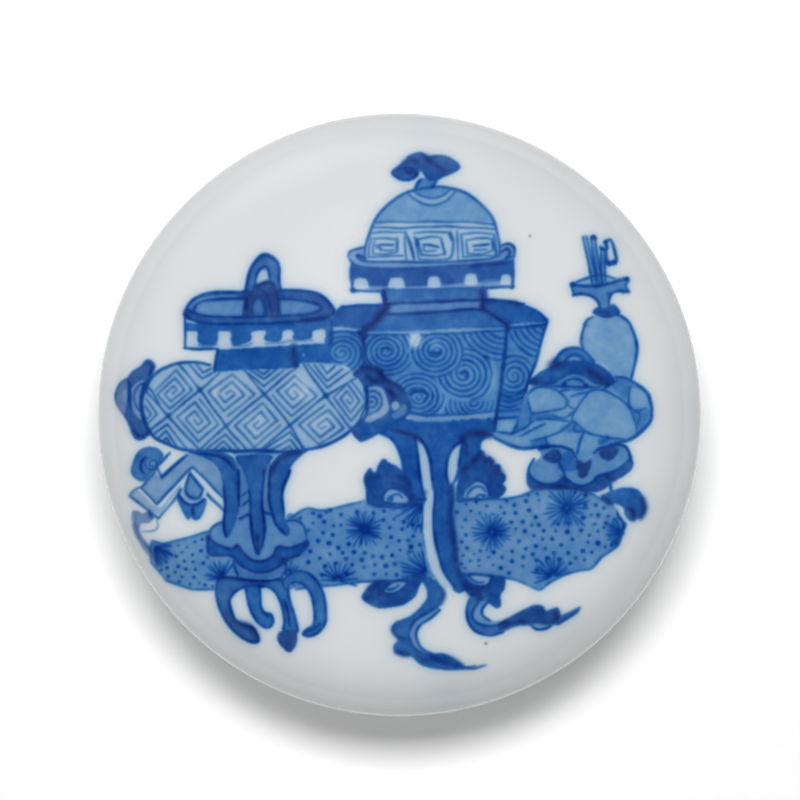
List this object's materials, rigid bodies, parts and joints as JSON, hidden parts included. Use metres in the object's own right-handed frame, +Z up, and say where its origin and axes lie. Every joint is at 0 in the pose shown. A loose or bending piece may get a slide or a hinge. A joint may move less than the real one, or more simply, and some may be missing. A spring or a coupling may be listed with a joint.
{
  "type": "seal paste box",
  "caption": "Round covered porcelain box for seal paste: footed base with a raised neck, domed cover that drops over the neck, cake of red paste inside.",
  "frame": {"origin": "on the table, under the middle of the foot ring", "axes": "+Z up along the axis that the box is turned about; +Y to the top edge and +X to the right edge of the painting on the cover, seen from above"},
  "size_m": [0.096, 0.096, 0.038],
  "materials": {
    "porcelain_base": "clear glossy glaze over white porcelain, bare on the ledge, neck and foot",
    "porcelain_cover": "clear glossy glaze over underglaze cobalt painting, bare on the rim",
    "seal_paste": "oily vermilion paste of cinnabar and plant fibre"
  },
  "bodies": {
    "base": {"base": "porcelain_base", "seal_paste": "seal_paste"},
    "cover": {"cover": "porcelain_cover"}
  },
  "joints": [
    {"name": "cover_lift", "type": "slide", "parent": "base", "child": "cover", "axis": [0, 0, 1], "range_m": [0, 0.05]}
  ]
}
